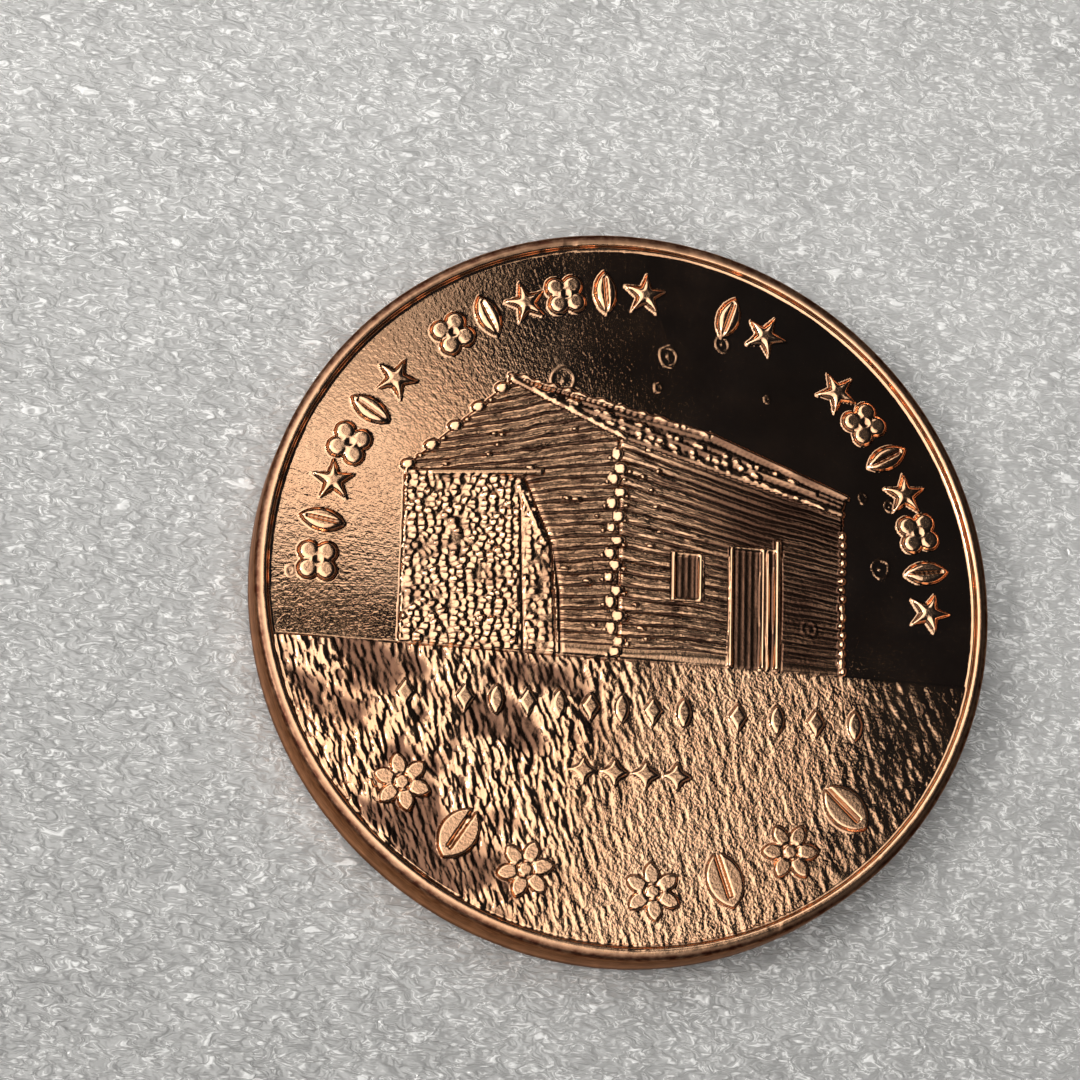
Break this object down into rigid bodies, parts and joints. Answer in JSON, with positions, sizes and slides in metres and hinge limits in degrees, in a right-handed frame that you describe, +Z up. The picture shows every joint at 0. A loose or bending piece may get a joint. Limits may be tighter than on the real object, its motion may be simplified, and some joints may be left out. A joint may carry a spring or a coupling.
{
  "type": "struck coin",
  "caption": "Small round struck coin with a plated skin over a solid core, a raised rim, a log cabin on one face and a wreath on the other.",
  "frame": {"origin": "centre of the lower rim's plane", "axes": "+Z up through the coin's thickness, out of the cabin face; +Y to the top of the cabin picture; +X to its right"},
  "size_m": [0.019, 0.019, 0.0015],
  "materials": {
    "zinc": "dull grey zinc",
    "copper": "bright struck copper, mirror-like on the field and satin on the relief"
  },
  "bodies": {
    "root": {"zinc_core": "zinc", "copper_plating": "copper"}
  },
  "joints": []
}
